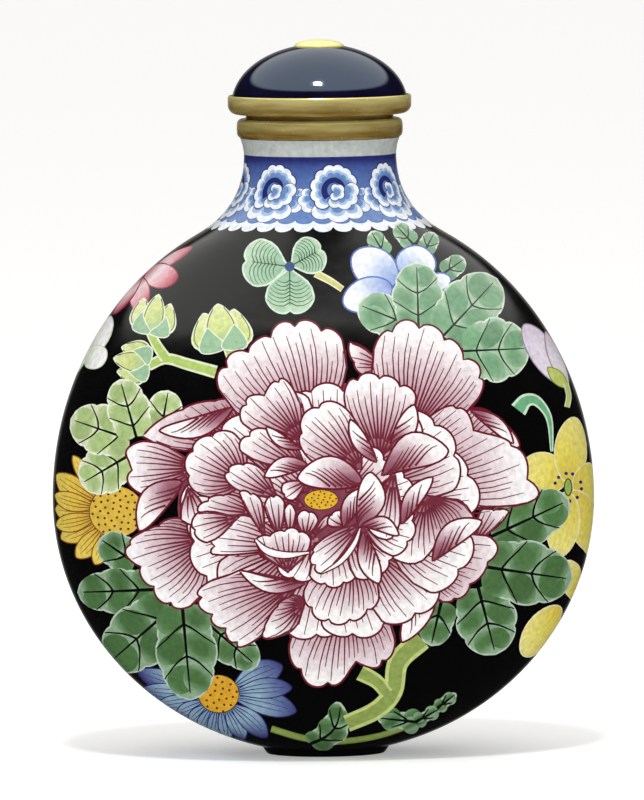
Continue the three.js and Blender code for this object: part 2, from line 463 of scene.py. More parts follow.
def outer_petals():
    petal((1.8, 14.4), [(-3.3, 9.9), (-2.4, 7.1), (-1.2, 6.0), (1.3, 6.2), (2.3, 7.4), (4.9, 7.6),
        (6.3, 10.0)], 5)
    petal((-9.4, 19.0), [(-12.5, 20.8), (-15.1, 19.8), (-17.2, 18.3), (-16.3, 16.4), (-15.0, 14.4),
        (-13.4, 12.9), (-11.2, 12.9)], 6)
    petal((-6.3, 26.9), [(-15.8, 27.6), (-13.7, 29.3), (-10.6, 30.6), (-7.2, 30.7)], 3, 0.03)
    petal((-10.2, 24.9), [(-15.7, 27.5), (-17.0, 26.4), (-16.8, 25.3), (-17.0, 24.1), (-15.3, 22.3)], 2)
    curl((-7.5, 30.1), (-14.1, 28.1), 1.9, 0.1, 1.1, 5)
    petal((-0.8, 27.1), [(-9.2, 31.5), (-8.7, 33.9), (-5.8, 35.8), (-2.9, 37.6), (-0.2, 37.3),
        (2.1, 35.9)], 6)
    petal((5.5, 33.4), [(2.2, 35.8), (2.4, 34.0), (3.4, 32.6)], 2)
    petal((7.1, 27.0), [(4.1, 34.8), (6.1, 37.2), (10.3, 36.6), (12.3, 34.7), (14.0, 32.3), (13.1, 29.9)], 6)
    petal((11.2, 26.1), [(12.6, 30.0), (14.5, 29.5), (16.1, 28.1), (17.3, 26.4)], 2)
    curl((12.6, 29.7), (16.4, 26.7), 1.4, 0.08)
    petal((12.7, 17.9), [(13.4, 21.2), (14.8, 21.3), (16.2, 21.0)], 2)
    petal((6.1, 23.0), [(8.3, 28.5), (11.1, 30.2), (13.8, 27.8), (16.7, 26.7), (17.8, 24.3), (17.5, 21.5),
        (14.1, 21.2)], 5, 0.04)
    petal((8.1, 16.6), [(14.3, 19.1), (15.0, 17.8), (13.9, 15.8), (12.9, 14.6), (11.3, 13.2), (9.3, 13.4)], 4)
    petal((5.7, 17.1), [(4.3, 12.3), (6.4, 11.2), (7.8, 13.1)], 2, 0.04)
    curl((8.7, 16.2), (6.6, 9.7), 2.6, 0.08, 0.9, 5)


def second_petals():
    curl((-12.1, 23.9), (-15.9, 19.5), 2.6, -0.12, 1.0, 4)
    petal((-11.6, 23.4), [(-12.3, 20.4), (-10.9, 20.0), (-10.2, 21.6)], 1, 0.02)
    petal((-1.9, 15.3), [(-9.7, 15.5), (-11.1, 14.1), (-10.3, 12.3), (-8.7, 10.6), (-7.2, 9.4),
        (-5.4, 10.3)], 5)
    petal((-1.6, 13.2), [(-2.3, 14.0), (-3.9, 13.4), (-4.9, 12.0), (-5.5, 10.4), (-3.4, 10.5)], 4)
    petal((2.4, 17.5), [(-2.0, 14.4), (-0.9, 12.0), (1.7, 11.3), (3.8, 12.3), (4.9, 13.6)], 5)
    petal((8.8, 22.5), [(5.6, 19.4), (5.3, 17.8), (6.6, 16.6), (8.3, 16.6), (9.5, 17.8), (11.0, 19.3),
        (13.0, 20.5)], 2, 0.02)
    curl((9.2, 16.7), (13.6, 20.2), 2.2, 0.12, 1.2, 4)
    petal((-6.4, 23.5), [(-7.5, 28.1), (-9.6, 28.0), (-11.5, 26.6), (-11.8, 24.0), (-10.6, 22.4)], 4)
    petal((-1.6, 27.1), [(-7.2, 28.7), (-6.6, 30.9), (-5.2, 31.4), (-3.0, 32.4), (-2.0, 30.9)], 4)
    petal((4.8, 25.3), [(1.6, 30.9), (2.4, 32.5), (4.3, 33.0), (6.6, 32.3), (8.3, 31.0)], 4)
    curl((5.8, 26.3), (7.9, 30.2), 1.9, -0.06, 1.1, 3)


def third_petals():
    petal((-2.6, 18.1), [(-6.6, 21.0), (-8.3, 20.5), (-9.6, 19.2), (-9.7, 17.5), (-8.9, 15.5),
        (-7.1, 16.3)], 5)
    petal((-5.3, 20.9), [(-7.1, 22.5), (-9.0, 22.7), (-10.5, 22.0), (-11.1, 21.1)], 3)
    petal((-7.1, 20.7), [(-11.0, 21.2), (-11.4, 19.7), (-10.1, 18.3)], 2)
    petal((-1.3, 24.5), [(-7.4, 26.3), (-6.9, 27.6), (-5.3, 28.4), (-2.7, 27.4)], 3)
    curl((-1.8, 26.4), (-4.9, 28.4), 1.2, 0.08)
    petal((-3.8, 22.2), [(-5.3, 25.0), (-7.2, 25.4), (-8.5, 24.1), (-7.8, 23.1)], 3)
    curl((-1.6, 14.9), (-7.3, 16.1), 1.5, 0.12, 1.0, 3)
    petal((3.4, 24.6), [(-1.0, 25.2), (-2.2, 27.4), (-1.5, 29.7), (0.8, 30.6), (2.4, 29.8)], 3)
    curl((4.6, 25.2), (2.3, 29.0), 1.5, 0.06)
    petal((6.1, 24.7), [(3.3, 20.1), (4.7, 18.7), (5.9, 18.7), (6.6, 19.9)], 1, 0.02)
    curl((4.9, 24.1), (10.8, 26.3), 3.3, 0.16, 1.35, 6)
    curl((6.6, 19.9), (9.4, 24.0), 1.7, 0.08, 1.1, 3)


def heart_petals():
    stamens()
    curl((-1.3, 25.2), (-5.1, 24.1), 1.7, -0.1, 1.0, 4)
    petal((-1.2, 23.8), [(-3.6, 23.6), (-3.5, 22.4), (-2.6, 21.9)], 2)
    curl((3.4, 23.7), (-2.3, 24.0), 3.0, -0.1, 1.0, 6)
    petal((-5.0, 18.6), [(-7.4, 23.0), (-6.4, 23.0), (-5.2, 22.2)], 2)
    petal((-3.8, 18.6), [(-5.2, 21.8), (-4.3, 22.7), (-3.2, 22.1)], 2)
    petal((-2.9, 18.7), [(-3.5, 21.4), (-2.9, 21.9), (-2.2, 21.0)], 1)
    petal((-1.6, 18.7), [(-2.4, 20.8), (-1.8, 21.3), (-1.0, 21.2), (-0.3, 20.4)], 2)
    petal((-0.9, 18.9), [(-0.4, 20.3), (0.4, 20.9), (1.4, 20.9)], 2)
    petal((1.9, 19.7), [(0.2, 19.9), (0.6, 21.0), (1.6, 21.3)], 2)
    curl((1.6, 19.7), (3.9, 23.2), 1.7, 0.1, 1.1, 4)
    petal((-3.1, 15.8), [(-6.1, 18.8), (-4.5, 19.4), (-2.4, 19.8), (-0.9, 18.8)], 4)
    fold([(-5.9, 18.8), (-4.9, 17.8), (-3.3, 17.4), (-1.2, 17.6)], 0.78)
    petal((3.5, 20.2), [(0.2, 19.1), (-1.0, 18.0), (-1.2, 16.5), (-0.2, 15.5)], 3)
    fold([(3.2, 19.9), (2.6, 18.3), (1.4, 16.8), (-0.2, 15.8)], 0.61)
    curl((3.0, 19.6), (4.1, 24.5), 2.6, -0.1, 1.2, 5)
    curl((3.1, 19.9), (6.5, 19.0), 1.5, 0.16, 1.2)
    curl((3.3, 19.4), (4.7, 14.8), 1.9, -0.06, 1.2, 4)


FOLD_SWELL = (0.12, 0.88)
FOLD_LINE = PETAL_LINE * 0.7


def fold(points, width):
    """A petal's rim folded over into a white roll."""
    path = smooth_path(points)
    half = width * np.sin(np.linspace(*FOLD_SWELL, len(path)) * np.pi)[:, None] / 2
    canvas.shape(front, ribbon(path, half), flat(WHITE), CRIMSON, FOLD_LINE)


def peony():
    """The large peony of the front, from its shadowed depth and outermost petals to its heart."""
    canvas.fill(front, circle((0.2, 21.5), 12.7, 40, 0.84), flat(PETAL_SHADE))
    outer_petals()
    filler_petals(13.0, 13, 8)
    second_petals()
    filler_petals(7.6, 10, 20)
    third_petals()
    heart_petals()


STAMEN_GOLD = srgb(226, 178, 48)
STAMEN_DOT = srgb(104, 62, 20)


def stamens():
    centre = np.array((-0.2, 22.1))
    canvas.shape(front, circle(centre, 1.5, 18, 0.6), flat(STAMEN_GOLD), CRIMSON, 0.08)
    dotted_disc(front, centre, 1.3, 0.56, 0.42, 0.085, STAMEN_DOT)


def dotted_disc(place, centre, radius, squash, gap, dot, colour):
    """Dots over a disc, set out in a sunflower's spiral."""
    golden_turn = math.pi * (3 - math.sqrt(5))
    count = int((radius / gap) ** 2 * 2.4)
    for number in range(count):
        distance = radius * math.sqrt((number + 0.5) / count)
        angle = number * golden_turn
        spot = centre + distance * np.array([math.cos(angle), squash * math.sin(angle)])
        canvas.fill(place, circle(spot, dot, 7), flat(colour))


# Leaves, stems and buds

LEAF_LINE = 0.14
LEAF_NOTCH = 0.1
CELL_ROUND = 0.85
CELL_SHADES = (0.85, 1.15)
MIDRIB_END = 0.92
MIDRIB_SHARE = 1.6
THIN_SHARE = 0.5
DARK_LEAF = {
    "edge": srgb(186, 206, 188), "base": srgb(142, 172, 140), "rim": srgb(118, 154, 112),
    "cell": srgb(78, 116, 68), "vein": INK, "line": 0.2}
MID_LEAF = {
    "edge": srgb(218, 230, 212), "base": srgb(170, 198, 168), "rim": srgb(152, 188, 154),
    "cell": srgb(120, 164, 126), "vein": srgb(26, 48, 32), "line": 0.14}
PALE_LEAF = {
    "edge": srgb(236, 242, 224), "base": srgb(216, 226, 188), "rim": srgb(198, 214, 162),
    "cell": srgb(168, 192, 128), "vein": srgb(18, 28, 16), "line": 0.17}


def leaf(base, tip, width, lobes, greens, bend=0.0, fullness=0.9, place=front):
    """A broad lobed leaf: a pale margin, round cells that darken inwards, and dark veins between them."""
    blade = Blade(base, tip, width, bend, fullness, lobes, LEAF_NOTCH, point=0.45)
    canvas.shape(place, blade.outline(), flat(greens["base"]), greens["edge"], LEAF_LINE)
    for number in range(lobes):
        middle = (number + 0.5) / lobes
        for side in (-1, 1):
            start = blade.at(max(middle - 0.62 / lobes, 0.03), 0.06 * side)
            end = blade.at(min(middle + 0.26 / lobes, 0.97), 0.9 * side)
            cell = Blade(start, end, blade.length / lobes * CELL_ROUND, 0.0, 1.05, point=0.5)
            green = greens["cell"] * chance.uniform(*CELL_SHADES)
            stops = [(0.0, green), (0.6, green), (1.0, greens["rim"]), (1.6, greens["base"])]
            canvas.fill(place, cell.outline(), fade(place, cell.at(0.5, 0), cell.at(0.98, 0), stops))
    for number in range(1, lobes):
        start = (number - 0.42) / lobes
        for side in (-1, 1):
            parts = np.linspace(start, min(start + 0.7 / lobes, 0.97), 7)
            path = blade.at(parts, side * np.linspace(0, 0.96, 7) ** 0.8)
            canvas.line(place, path, greens["line"], greens["line"] * THIN_SHARE, greens["vein"])
    midrib = blade.at(np.linspace(0, MIDRIB_END, 12), 0.0)
    canvas.line(place, midrib, greens["line"] * MIDRIB_SHARE, greens["line"] * THIN_SHARE, greens["vein"])


def stem(points, width, core, edge, place=front):
    path = smooth_path(points)
    canvas.line(place, path, width, width * 0.8, edge)
    canvas.line(place, path, width * 0.66, width * 0.5, core)


STEM_GREEN = srgb(146, 166, 86)
STEM_EDGE = srgb(222, 230, 190)
BUD_GREEN = srgb(208, 220, 142)
BUD_SHADE = srgb(160, 196, 160)
BUD_EDGE = srgb(234, 242, 220)
BUD_LINE = srgb(58, 74, 40)
BUD_STOPS = [(0.0, BUD_SHADE), (0.45, BUD_GREEN), (1.0, srgb(226, 232, 170))]
TWIG_GREEN = srgb(178, 204, 112)
TWIG_EDGE = srgb(226, 236, 200)


def bud(base, tip, width, place=front):
    """A round bud: three sepals that overlap, with pale rims."""
    base, tip = np.array(base, float), np.array(tip, float)
    sideways = np.array([tip[1] - base[1], base[0] - tip[0]])
    for lean, reach, share in ((-0.34, 0.84, 0.62), (0.34, 0.84, 0.62), (0.0, 1.0, 0.6)):
        end = base + (tip - base) * reach + sideways * lean
        blade = Blade(base, end, width * share, -lean * 0.5, 0.8, point=0.7)
        canvas.shape(place, blade.outline(), fade(place, base, tip, BUD_STOPS), BUD_EDGE, 0.12)
        for side in (-0.8, 0.8):
            canvas.line(place, blade.at(np.linspace(0.1, 0.9, 8), side), 0.05, 0.08, BUD_LINE)
    for lean in (-0.3, 0.3):
        sepal = Blade(base, base + (tip - base) * 0.52 + sideways * lean, width * 0.42, -lean, 0.8)
        canvas.shape(place, sepal.outline(), flat(BUD_SHADE), BUD_EDGE, 0.1)


# Flowers with rays round a dotted disc

def daisy(centre, radius, squash, rays, stops, edge, disc, dot, place=front):
    """Rays are given by their direction in degrees, length from the disc's centre and width."""
    centre = np.array(centre, float)
    for direction, length, width in rays:
        heading = around(direction, 1)
        ray = Blade(centre + heading * radius * 0.7, centre + heading * length, width, 0.03, 1.25, point=0.62)
        canvas.shape(place, ray.outline(), fade(place, ray.base, ray.tip, stops), edge, 0.1)
        for side in (-0.4, 0.0, 0.4):
            canvas.line(place, ray.at(np.linspace(0.1, 0.86 - abs(side) * 0.2, 6), side), 0.1, 0.04, edge)
    canvas.shape(place, circle(centre, radius, 28, squash), flat(disc), dot, 0.06)
    dotted_disc(place, centre, radius * 0.93, squash, 0.52, 0.11, dot)


def round_petal(base, tip, width, stops, edge, edge_width=0.12, place=front):
    blade = Blade(base, tip, width, 0.0, 1.0, point=0.5)
    canvas.shape(place, blade.outline(), fade(place, blade.base, blade.tip, stops), edge, edge_width)


AMBER = srgb(138, 78, 34)
GOLD_STOPS = [(0.0, srgb(196, 150, 50)), (0.35, srgb(228, 194, 74)), (1.0, srgb(240, 218, 104))]
GOLD_DISC = srgb(222, 184, 70)
BROWN_DOT = srgb(66, 34, 14)
BLUE_LINE = srgb(46, 46, 104)
ASTER_STOPS = [
    (0.0, srgb(116, 146, 178)), (0.4, srgb(150, 180, 200)),
    (0.75, srgb(96, 114, 160)), (1.0, srgb(58, 56, 118))]
YELLOW_STOPS = [(0.0, srgb(216, 190, 78)), (0.4, srgb(230, 214, 96)), (1.0, srgb(238, 228, 136))]
YELLOW_EDGE = srgb(240, 232, 196)


def chrysanthemum():
    rays = [(150, 6.4, 2.1), (128, 6.2, 1.4), (178, 5.7, 1.9), (205, 5.6, 1.9),
            (228, 5.4, 1.9), (166, 5.9, 1.7), (192, 5.8, 1.7), (247, 5.0, 1.7)]
    daisy((-17.8, 21.2), 2.4, 0.93, rays, GOLD_STOPS, AMBER, GOLD_DISC, BROWN_DOT)


def aster():
    rays = [(165, 7.3, 2.1), (178, 6.8, 1.9), (192, 5.7, 1.7), (208, 4.3, 1.6), (226, 3.8, 1.6),
            (244, 3.9, 1.6), (262, 4.0, 1.6), (281, 4.2, 1.6), (297, 4.7, 1.7), (317, 5.7, 1.9),
            (347, 6.9, 2.3), (24, 6.1, 2.4), (5, 6.4, 1.9)]
    daisy((-9.2, 5.4), 1.8, 0.95, rays, ASTER_STOPS, BLUE_LINE, srgb(222, 166, 44), srgb(70, 40, 14))


def yellow_flower(centre, petals):
    """Five round petals about a green pistil and dark dots."""
    centre = np.array(centre, float)
    for direction, length, width in petals:
        heading = around(direction, 1)
        base, tip = centre + heading * 0.35, centre + heading * length
        round_petal(base, tip, width, YELLOW_STOPS, YELLOW_EDGE, 0.08)
        for lean in (-14, 14):
            spot = centre + around(direction + lean, 1.2)
            canvas.fill(front, circle(spot, 0.16, 8), flat(srgb(36, 48, 110)))
    pistil = Blade(centre + np.array([0, -0.78]), centre + np.array([0, 0.78]), 0.78, point=0.5)
    canvas.shape(front, pistil.outline(), flat(srgb(150, 178, 86)), srgb(40, 70, 40), 0.1)


BLUE_PETAL_STOPS = [
    (0.0, srgb(128, 152, 216)), (0.35, srgb(186, 202, 236)), (0.7, srgb(244, 248, 254)), (1.1, WHITE)]
BLUE_PETAL_EDGE = srgb(92, 118, 186)


def blue_flower():
    for base, tip, width in (((6.5, 40.6), (2.7, 43.2), 3.6), ((7.9, 40.7), (8.4, 43.9), 3.6),
                             ((6.1, 40.4), (1.8, 38.8), 3.1), ((8.9, 40.3), (11.2, 41.0), 1.7)):
        round_petal(base, tip, width, BLUE_PETAL_STOPS, BLUE_PETAL_EDGE, 0.14)


def clover():
    """Three heart leaflets with herringbone veins round a blue dot."""
    centre = np.array((-2.7, 42.1))
    pale, dark = srgb(216, 234, 214), srgb(48, 84, 56)
    stops = [(0.0, srgb(152, 188, 158)), (0.6, srgb(170, 204, 174)), (1.0, srgb(192, 218, 188))]
    stem([(-0.5, 41.5), (0.8, 40.8), (1.8, 40.1)], 0.69, srgb(206, 206, 130), srgb(244, 240, 206))
    for tip in ((-6.9, 42.7), (0.3, 43.7), (-2.7, 37.8)):
        fan = Fan(centre, spread_rim(centre, tip, 40), 2, 0.1)
        canvas.shape(front, fan.outline(), fade(front, fan.base, fan.tip, stops), pale, 0.15)
        for part in np.linspace(0.3, 0.8, 7):
            for side in (-1, 1):
                path = fan.at(side * np.linspace(0.0, 0.82, 5), part + np.linspace(0, 0.12, 5))
                canvas.line(front, path, 0.09, 0.04, dark)
        canvas.line(front, fan.at(np.zeros(8), np.linspace(0.05, 0.86, 8)), 0.12, 0.05, dark)
    canvas.fill(front, circle(centre, 0.43, 12), flat(srgb(62, 84, 136)))


# The neck's bands

BAND_BLUE = srgb(98, 128, 184)
BAND_DARK = srgb(38, 44, 108)
BAND_WASH = srgb(108, 140, 194)
BAND_PALE = srgb(166, 192, 226)
BAND_WHITE = srgb(238, 243, 249)
NECK_WHITE = srgb(188, 194, 190)
WHITE_BAND_LEVEL = 52.1
BAND_TOP = 51.8
BAND_BOTTOM = 46.6
CURLS = 8
EDGE_LOBES = 34
CURL_LEVEL = 49.3
BAND_STOPS = [
    (BAND_BOTTOM, BAND_WASH), (48.8, BAND_BLUE), (51.0, srgb(72, 94, 158)), (BAND_TOP, BAND_DARK)]


def unrolled(points):
    """A place for shapes already given by turn and level."""
    turn, level = np.asarray(points, float).T
    return np.stack([turn * UNROLL_RADIUS, climb_to(level)], axis=-1)


def ring_band(low, high, paint, lobes=0, lobe_height=0.0):
    """A band all round the bottle, with a scalloped lower margin if it has lobes."""
    turns = np.linspace(SEAM_TURN - 2 * np.pi, SEAM_TURN, max(SIDES, lobes * LOBE_STEPS) + 1)
    phase = (turns - SEAM_TURN) * lobes / 2
    lower = low - lobe_height * np.abs(np.sin(phase)) ** LOBE_POWER
    upper = np.full_like(turns, high)
    bottom = np.stack([turns, lower], axis=-1)
    top = np.stack([turns, upper], axis=-1)[::-1]
    canvas.fill(unrolled, np.concatenate([bottom, top]), paint)


def cloud(place, lobes, heart, edge):
    """Round lobes that run together: a dark edge, white rims and a blue wash towards their heart."""
    for spot, radius in lobes:
        canvas.fill(place, circle(spot, radius + edge, 16), flat(BAND_DARK))
    for spot, radius in lobes:
        canvas.fill(place, circle(spot, radius, 16), flat(BAND_WHITE))
    for shrink, lean, colour in ((0.72, 0.42, BAND_PALE), (0.56, 0.66, BAND_WASH)):
        for spot, radius in lobes:
            inward = np.array(heart) - spot
            inward = inward / math.hypot(*inward)
            canvas.fill(place, circle(spot + inward * radius * lean, radius * shrink, 14), flat(colour))


def cloud_curl(place):
    """A lobed scroll that winds in to its middle, over a row of wave lobes."""
    for side in (-1, 1):
        outer = [((2.5 * side, -0.3), 0.42), ((2.65 * side, -0.95), 0.5), ((2.2 * side, -1.5), 0.6)]
        cloud(place, outer, (0, 0.5), 0.05)
    cloud(place, [((-1.2, -2.0), 0.78), ((1.2, -2.0), 0.78), ((0.0, -2.25), 0.84)], (0, 1.5), 0.05)
    cloud(place, [(around(angle, 1.6), 0.6) for angle in (225, 196, 166, 136, 106, 78, 52, 26)], (0, 0), 0.1)
    canvas.fill(place, circle((0.1, -0.05), 1.22, 22), flat(BAND_BLUE))
    turns = np.linspace(225, 15, 16)
    gap = np.array([around(turn, radius) for turn, radius in zip(turns, np.linspace(1.02, 0.74, 16))])
    canvas.line(place, gap, 0.55, 0.4, BAND_DARK)
    inner = ((-2, 1.52, 0.62), (-32, 1.46, 0.62), (-64, 1.36, 0.6), (-98, 1.18, 0.5))
    cloud(place, [(around(angle, reach), radius) for angle, reach, radius in inner], (0.1, 0), 0.06)
    middle = [((-0.1, -0.62), 0.36), ((0.34, -0.42), 0.4), ((0.36, 0.02), 0.42), ((0.0, 0.14), 0.34)]
    cloud(place, middle, (0.1, -0.3), 0.07)


def level_fade(stops):
    """A paint that changes with height on the bottle."""
    climbs = [float(climb_to(level)) for level, _ in stops]
    colours = np.array([colour for _, colour in stops])

    def paint(points):
        return np.stack([np.interp(points[:, 1], climbs, channel) for channel in colours.T], axis=-1)

    return paint


def neck_bands():
    shaded = level_fade(BAND_STOPS)
    ring_band(BAND_BOTTOM - 0.45, BAND_TOP, flat(BAND_WHITE), EDGE_LOBES, 0.42)
    ring_band(BAND_BOTTOM + 0.1, BAND_TOP, flat(BAND_BLUE), EDGE_LOBES, 0.3)
    ring_band(BAND_BOTTOM + 0.25, BAND_TOP, shaded, EDGE_LOBES, 0.3)
    for number in range(CURLS):
        turn = SEAM_TURN + 2 * math.pi * (number + 0.5) / CURLS
        cloud_curl(patch(turn, CURL_LEVEL))
    ring_band(BAND_TOP, WHITE_BAND_LEVEL, flat(BAND_DARK))
    ring_band(WHITE_BAND_LEVEL, SEAT_LEVEL, flat(NECK_WHITE))


# The sprays round the peony, from the ones behind to the ones in front

PINK_STOPS = [
    (0.0, srgb(196, 90, 106)), (0.4, srgb(246, 226, 230)),
    (0.75, srgb(226, 160, 170)), (1.0, srgb(176, 60, 82))]
PINK_EDGE = srgb(150, 44, 66)


def left_sprays():
    for base, tip, width in (((-15.0, 41.8), (-11.1, 44.0), 1.0), ((-15.5, 41.6), (-12.3, 41.4), 2.3),
                             ((-15.5, 41.4), (-15.9, 38.4), 1.9), ((-15.7, 41.3), (-18.2, 38.2), 1.2)):
        round_petal(base, tip, width, PINK_STOPS, PINK_EDGE, 0.1)
    pale = [(0.0, srgb(206, 220, 180)), (0.4, srgb(242, 244, 236)), (1.0, WHITE)]
    for base, tip, width in (((-21.0, 34.4), (-18.2, 38.0), 2.3), ((-20.7, 33.9), (-18.6, 35.2), 2.1),
                             ((-21.9, 33.3), (-20.5, 37.0), 1.9)):
        round_petal(base, tip, width, pale, srgb(214, 226, 204), 0.1)
    stem([(-9.1, 33.1), (-11.5, 33.8), (-13.4, 34.3), (-14.9, 33.7)], 1.1, TWIG_GREEN, TWIG_EDGE)
    stem([(-13.4, 34.3), (-14.2, 35.5), (-14.8, 36.7)], 1.0, TWIG_GREEN, TWIG_EDGE)
    stem([(-7.8, 34.5), (-8.1, 35.2), (-8.3, 35.8)], 0.87, TWIG_GREEN, TWIG_EDGE)
    bud((-14.8, 36.4), (-14.0, 39.9), 3.3)
    bud((-8.4, 35.0), (-8.9, 39.0), 5.0)
    bud((-14.8, 33.8), (-18.0, 34.4), 3.3)
    chrysanthemum()
    leaf((-16.9, 25.9), (-20.9, 23.6), 4.3, 3, PALE_LEAF)
    leaf((-13.8, 28.4), (-13.2, 31.6), 3.1, 2, PALE_LEAF)
    leaf((-16.5, 27.4), (-21.8, 29.2), 4.5, 3, PALE_LEAF)
    leaf((-16.0, 27.6), (-17.4, 32.6), 3.8, 3, PALE_LEAF)


def lower_left_sprays():
    aster()
    leaf((-16.2, 16.8), (-19.3, 18.9), 3.3, 2, DARK_LEAF)
    leaf((-14.6, 14.5), (-21.4, 14.2), 4.0, 3, DARK_LEAF)
    leaf((-11.0, 12.4), (-5.8, 7.8), 3.8, 4, DARK_LEAF)
    leaf((-13.1, 12.9), (-19.0, 7.8), 5.7, 3, DARK_LEAF)
    leaf((-12.2, 13.1), (-11.6, 4.8), 5.4, 3, DARK_LEAF)


def right_sprays():
    for base, tip, width in (((5.5, 43.0), (4.3, 45.1), 1.7), ((7.9, 44.0), (6.4, 45.7), 1.7),
                             ((8.9, 43.3), (9.8, 45.0), 1.7), ((10.5, 41.4), (12.4, 42.7), 1.9)):
        leaf(base, tip, width, 2, MID_LEAF)
    blue_flower()
    leaf((7.7, 36.9), (3.1, 38.8), 3.8, 2, MID_LEAF)
    leaf((8.3, 36.7), (8.2, 42.4), 4.5, 3, MID_LEAF)
    leaf((10.4, 36.0), (15.2, 41.0), 5.4, 3, MID_LEAF)
    leaf((12.1, 34.7), (17.9, 34.9), 5.7, 3, MID_LEAF)
    bud_pale = [(0.0, srgb(196, 206, 130)), (0.3, srgb(238, 232, 240)), (1.0, srgb(222, 208, 226))]
    round_petal((21.1, 31.7), (17.4, 37.0), 2.6, bud_pale, srgb(150, 130, 160), 0.1)
    round_petal((21.3, 31.7), (19.5, 36.4), 1.7, bud_pale, srgb(170, 130, 150), 0.1)
    sepal = Blade((21.3, 31.4), (19.4, 33.3), 1.2)
    canvas.shape(front, sepal.outline(), flat(srgb(196, 206, 112)), srgb(120, 140, 60), 0.08)
    stem([(21.1, 31.9), (21.3, 30.8), (21.1, 29.8)], 0.61, srgb(190, 204, 120), srgb(226, 234, 200))
    arch = smooth_path([(16.8, 29.6), (17.5, 30.4), (18.5, 30.3), (19.5, 28.8), (19.7, 26.0)])
    canvas.line(front, arch, 1.5, 0.26, srgb(206, 230, 206))
    canvas.line(front, arch, 1.0, 0.087, srgb(112, 176, 130))
    petals = [(148, 4.5, 3.5), (84, 6.1, 3.1), (6, 3.8, 3.8), (-62, 6.8, 3.5), (-98, 6.1, 3.0)]
    yellow_flower((21.1, 22.9), petals)
    round_petal((20.4, 12.6), (17.1, 8.3), 3.0, YELLOW_STOPS, YELLOW_EDGE, 0.1)
    round_petal((22.0, 13.1), (21.0, 16.6), 2.3, YELLOW_STOPS, YELLOW_EDGE, 0.1)
    leaf((10.0, 13.2), (9.1, 9.4), 3.1, 2, DARK_LEAF)
    leaf((14.4, 18.8), (21.2, 21.8), 4.7, 3, DARK_LEAF)
    leaf((13.2, 14.4), (14.7, 8.5), 5.4, 3, DARK_LEAF)
    leaf((13.7, 16.2), (21.5, 14.9), 5.7, 3, DARK_LEAF)


def foot_sprays():
    runner = [(-4.7, 2.3), (-2.1, 1.5), (0.8, 1.1), (4.7, 1.6), (8.0, 2.9), (10.6, 5.1)]
    trunk_edge = srgb(196, 210, 130)
    stem(runner, 0.61, STEM_GREEN, srgb(120, 140, 70))
    leaf((8.2, 2.7), (4.4, 3.2), 1.6, 2, DARK_LEAF)
    leaf((7.7, 2.7), (9.9, 3.9), 1.0, 2, DARK_LEAF)
    leaf((9.6, 3.9), (11.3, 5.2), 1.0, 2, DARK_LEAF)
    leaf((-1.4, 0.9), (1.3, 4.6), 2.6, 3, DARK_LEAF, -0.2)
    stem([(8.3, 10.0), (6.3, 8.1), (5.8, 5.5), (4.4, 3.9), (1.8, 2.7)], 1.9, STEM_GREEN, trunk_edge)
    stem([(3.0, 7.2), (4.4, 6.4), (5.3, 5.3)], 1.4, STEM_GREEN, trunk_edge)


# The painted body

CUT_TOLERANCE = 1e-6
WELD_DIGITS = 4
SHARP_ANGLE = math.radians(35)


def inside(points, outline):
    """Which points lie inside an outline."""
    x, y = points[:, :1], points[:, 1:]
    ax, ay = outline.T
    bx, by = np.roll(outline, -1, axis=0).T
    crosses = (ay > y) != (by > y)
    rise = np.where(by == ay, 1.0, by - ay)
    left = x < (bx - ax) * (y - ay) / rise + ax
    return np.count_nonzero(crosses & left, axis=1) % 2 == 1


def joined(runs, closed):
    """The points of several runs in one list, and the edges along each run."""
    edges, first = [], 0
    for run in runs:
        numbers = np.arange(first, first + len(run))
        pairs = np.stack([numbers, np.roll(numbers, -1)], axis=-1)
        edges.append(pairs if closed else pairs[:-1])
        first += len(run)
    return np.concatenate(runs), np.concatenate(edges)


def triangulate(points, edges):
    found = delaunay_2d_cdt([Vector(point) for point in points], edges.tolist(), [], 0, CUT_TOLERANCE, False)
    return np.array([point[:] for point in found[0]]), np.array(found[2])


def topmost_outlines(points, triangles):
    """The number of the topmost outline over each triangle's middle, or -1 on the plain ground."""
    middles = points[triangles].mean(axis=1)
    topmost = np.full(len(triangles), -1)
    for number, outline in enumerate(canvas.outlines):
        low, high = outline.min(axis=0), outline.max(axis=0)
        near = np.flatnonzero(np.all((middles >= low) & (middles <= high), axis=1))
        topmost[near[inside(middles[near], outline)]] = number
    return topmost


def shown_lines(triangles, topmost):
    """The edges with different topmost outlines on their two sides."""
    edges = np.concatenate([triangles[:, sides] for sides in ([0, 1], [1, 2], [2, 0])])
    edges = np.sort(edges, axis=1)
    order = np.lexsort(edges.T)
    edges, owners = edges[order], np.tile(topmost, 3)[order]
    shared = np.all(edges[:-1] == edges[1:], axis=1)
    return edges[:-1][shared & (owners[:-1] != owners[1:])]


